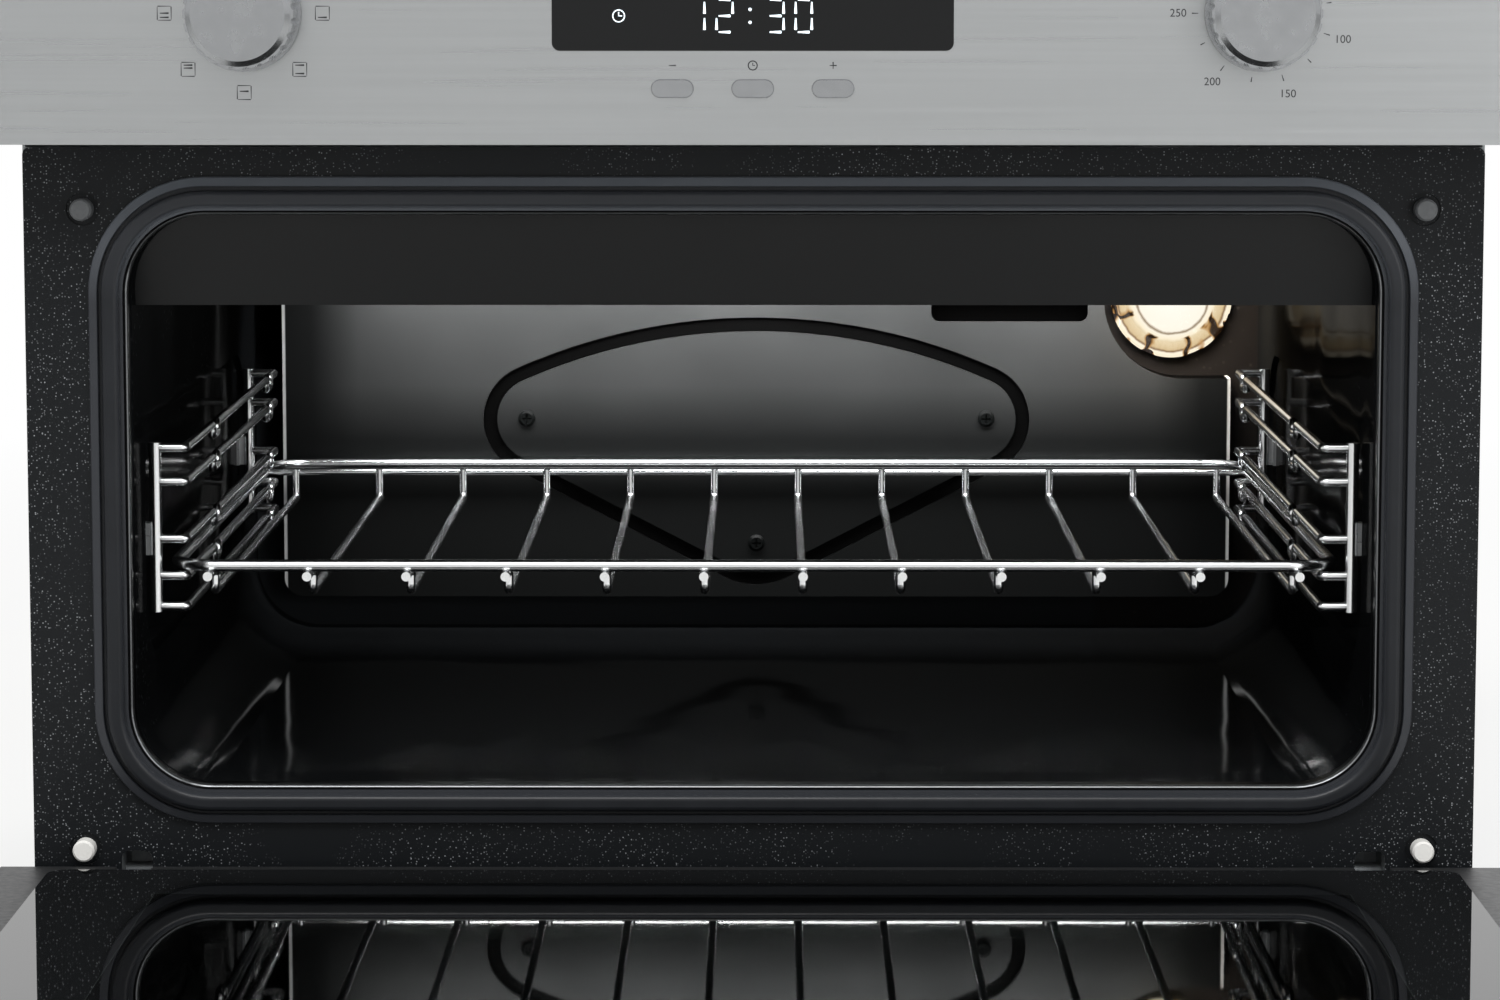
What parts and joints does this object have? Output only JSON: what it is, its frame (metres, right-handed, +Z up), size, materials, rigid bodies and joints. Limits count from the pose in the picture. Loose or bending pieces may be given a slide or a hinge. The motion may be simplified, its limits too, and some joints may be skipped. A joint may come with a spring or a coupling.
{
  "type": "built-in wall oven",
  "caption": "Compact built-in wall oven with its drop-down door open: enamelled cavity, wire racks, sliding wire shelf, rear panel, lamp, controls and cooling fan.",
  "frame": {"origin": "middle of the base plate's underside", "axes": "+X to the right seen from the front, +Y into the cavity, +Z up"},
  "size_m": [0.595, 0.865, 0.455],
  "materials": {
    "enamel": "glossy black vitreous enamel with fine grey specks",
    "header_enamel": "satin black enamel",
    "panel_enamel": "satin dark enamel",
    "gasket_rubber": "moulded dark silicone rubber",
    "bumper_rubber": "grey silicone rubber",
    "heater_sheath": "oxidised heater sheath",
    "galvanised": "galvanised steel sheet",
    "stainless": "brushed stainless steel",
    "chrome_wire": "bright chrome-plated wire",
    "lamp_glass": "moulded borosilicate glass",
    "bulb_glass": "halogen capsule",
    "smoked_glass": "smoked glass",
    "black_glass": "black back-printed toughened glass",
    "clear_glass": "heat-reflecting clear glass",
    "tinted_glass": "dark toughened glass",
    "mineral_wool": "pressed mineral wool",
    "copper": "copper tube",
    "black_plastic": "moulded black plastic",
    "pale_plastic": "moulded heat-resistant plastic",
    "circuit_board": "green circuit board",
    "motor_steel": "stacked steel sheets",
    "fan_aluminium": "thin aluminium blades",
    "knob_metal": "satin anodised aluminium"
  },
  "bodies": {
    "root": {"front_frame": "enamel", "cavity_liner": "enamel", "cavity_back_wall": "enamel", "rear_panel": "panel_enamel", "rear_panel_screws": "stainless", "front_header": "header_enamel", "door_gasket": "gasket_rubber", "door_bumpers": "bumper_rubber", "grill_element": "heater_sheath", "grill_supports": "galvanised", "bottom_element": "heater_sheath", "lamp_holder": "galvanised", "lamp_bulb": "bulb_glass", "lamp_lens": "lamp_glass", "rack_left": "chrome_wire", "rack_right": "chrome_wire", "rack_clips": "stainless", "insulation_blanket": "mineral_wool", "insulation_back": "mineral_wool", "vent_chimney": "galvanised", "thermostat_probe": "copper", "base_plate": "galvanised", "side_panel_left": "galvanised", "side_panel_right": "galvanised", "component_tray": "galvanised", "top_cover": "galvanised", "back_cover": "galvanised", "casing_screws": "stainless", "blower_housing": "galvanised", "blower_motor": "motor_steel", "air_duct": "galvanised", "terminal_block": "pale_plastic", "cable_gland": "black_plastic", "safety_cutout": "black_plastic", "fascia": "stainless", "display_window": "smoked_glass", "control_bracket": "galvanised", "timer_module": "circuit_board", "selector_switch": "pale_plastic", "thermostat": "pale_plastic", "lower_trim": "stainless", "hinge_receivers": "galvanised", "hinge_arms": "galvanised"},
    "door": {"hinge_cases": "galvanised", "hinge_pins": "stainless", "door_outer_glass": "black_glass", "door_middle_glass": "clear_glass", "door_inner_glass": "tinted_glass", "door_rails": "black_plastic", "door_handle": "stainless", "handle_posts": "stainless"},
    "shelf": {"wire_shelf": "chrome_wire"},
    "function_dial": {"function_shaft": "stainless", "function_knob": "knob_metal"},
    "temperature_dial": {"temperature_shaft": "stainless", "temperature_knob": "knob_metal"},
    "minus_key": {"button_minus": "knob_metal"},
    "mode_key": {"button_mode": "knob_metal"},
    "plus_key": {"button_plus": "knob_metal"},
    "rotor": {"blower_rotor": "fan_aluminium"}
  },
  "joints": [
    {"name": "door_hinge", "type": "hinge", "parent": "root", "child": "door", "pos_m": [0, -0.293, 0.064], "axis": [-1, 0, 0], "range_deg": [0, 90]},
    {"name": "shelf_slide", "type": "slide", "parent": "root", "child": "shelf", "axis": [0, 1, 0], "range_m": [-0.33, 0]},
    {"name": "function_knob_turn", "type": "hinge", "parent": "root", "child": "function_dial", "pos_m": [-0.19, -0.311, 0.406], "axis": [0, 1, 0], "range_deg": [0, 315]},
    {"name": "temperature_knob_turn", "type": "hinge", "parent": "root", "child": "temperature_dial", "pos_m": [0.19, -0.311, 0.406], "axis": [0, 1, 0], "range_deg": [0, 270]},
    {"name": "button_minus_press", "type": "slide", "parent": "root", "child": "minus_key", "axis": [0, 1, 0], "range_m": [0, 0.0012], "stiffness_N_per_m": 600, "springref_m": -0.0005},
    {"name": "button_mode_press", "type": "slide", "parent": "root", "child": "mode_key", "axis": [0, 1, 0], "range_m": [0, 0.0012], "stiffness_N_per_m": 600, "springref_m": -0.0005},
    {"name": "button_plus_press", "type": "slide", "parent": "root", "child": "plus_key", "axis": [0, 1, 0], "range_m": [0, 0.0012], "stiffness_N_per_m": 600, "springref_m": -0.0005},
    {"name": "blower_rotor_spin", "type": "hinge", "parent": "root", "child": "rotor", "pos_m": [0, 0.12, 0.396], "axis": [1, 0, 0], "continuous": true}
  ]
}
